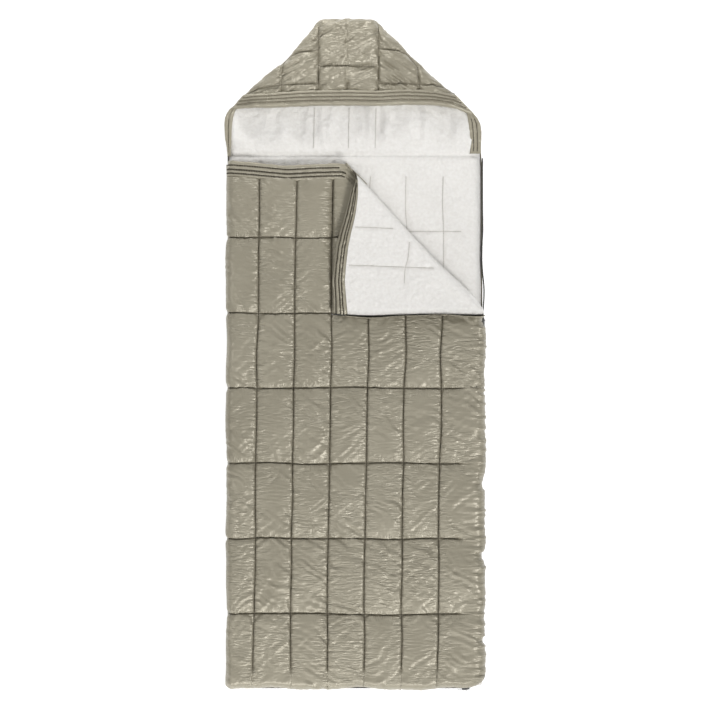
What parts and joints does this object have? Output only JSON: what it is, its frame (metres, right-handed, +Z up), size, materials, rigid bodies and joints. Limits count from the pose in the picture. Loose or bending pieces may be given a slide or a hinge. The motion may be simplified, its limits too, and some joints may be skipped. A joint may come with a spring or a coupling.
{
  "type": "hooded sleeping bag",
  "caption": "Rectangular box-quilted sleeping bag with a plush lining, a hood and a side zip, lying flat with one corner of the front panel folded back.",
  "frame": {"origin": "on the floor, under the middle of the whole bag, hood included", "axes": "+Z up off the floor, +Y from the foot towards the hood, +X towards the zipped side"},
  "size_m": [0.8165, 2.0925, 0.1132],
  "materials": {
    "satin": "taupe polyester satin, soft sheen, gathered along the seams",
    "plush": "off-white sherpa pile, matt",
    "wadding": "white polyester wadding, hidden",
    "thread": "dark olive polyester thread",
    "zip_tape": "charcoal woven tape",
    "zip_coil": "charcoal nylon coil",
    "zip_metal": "die-cast slider, satin grey",
    "pull": "dark moulded pull"
  },
  "bodies": {
    "bag": {"back_lining": "plush", "back_quilting": "thread", "back_shell": "satin", "back_wadding": "wadding", "front_band_stitching": "thread", "front_lining": "plush", "front_quilting": "thread", "front_shell": "satin", "front_top_band": "satin", "front_wadding": "wadding", "side_fold_lining": "plush", "side_fold_shell": "satin", "side_fold_wadding": "wadding", "zip_coil_back": "zip_coil", "zip_coil_front": "zip_coil", "zip_foot_stop": "zip_metal", "zip_tape_back": "zip_tape", "zip_tape_front": "zip_tape", "zip_top_stop_back": "zip_metal"},
    "flap": {"flap_band": "satin", "flap_band_stitching": "thread", "flap_lining": "plush", "flap_quilting": "thread", "flap_shell": "satin", "flap_wadding": "wadding", "zip_coil_flap": "zip_coil", "zip_tape_flap": "zip_tape", "zip_top_stop_flap": "zip_metal"},
    "hood": {"hood_back_shell": "satin", "hood_back_wadding": "wadding", "hood_back_lining": "plush", "hood_gusset": "satin", "face_band_left": "satin", "face_band_right": "satin", "face_band_stitching": "thread"},
    "hood_front": {"hood_front_shell": "satin", "hood_front_wadding": "wadding", "hood_front_lining": "plush", "hood_brim_band": "satin", "hood_brim_stitching": "thread", "hood_quilting": "thread"},
    "main_slider": {"main_slider_body": "zip_metal"},
    "main_slider_pull": {"main_slider_pull": "pull"},
    "foot_slider": {"foot_slider_body": "zip_metal"},
    "foot_slider_pull": {"foot_slider_pull": "pull"}
  },
  "joints": [
    {"name": "corner_fold", "type": "hinge", "parent": "bag", "child": "flap", "pos_m": [0.164, 0.362, 0.075], "axis": [-0.7071, 0.7071, 0], "range_deg": [0, 180]},
    {"name": "hood_fold", "type": "hinge", "parent": "bag", "child": "hood", "pos_m": [0, 0.624, 0.03], "axis": [1, 0, 0], "range_deg": [0, 90]},
    {"name": "hood_open", "type": "hinge", "parent": "hood", "child": "hood_front", "pos_m": [-0.02, 1.028, 0.042], "axis": [-1, 0, 0], "range_deg": [0, 30]},
    {"name": "main_zip", "type": "slide", "parent": "bag", "child": "main_slider", "axis": [0, 1, 0], "range_m": [-1.09, 0.474]},
    {"name": "main_pull_swing", "type": "hinge", "parent": "main_slider", "child": "main_slider_pull", "pos_m": [0.4067, 0.109, 0.036], "axis": [0, 0, 1], "range_deg": [0, 150]},
    {"name": "foot_zip", "type": "slide", "parent": "bag", "child": "foot_slider", "axis": [-1, 0, 0], "range_m": [0, 0.69]},
    {"name": "foot_pull_swing", "type": "hinge", "parent": "foot_slider", "child": "foot_slider_pull", "pos_m": [0.35, -1.0487, 0.036], "axis": [0, 0, 1], "range_deg": [0, 150]}
  ]
}
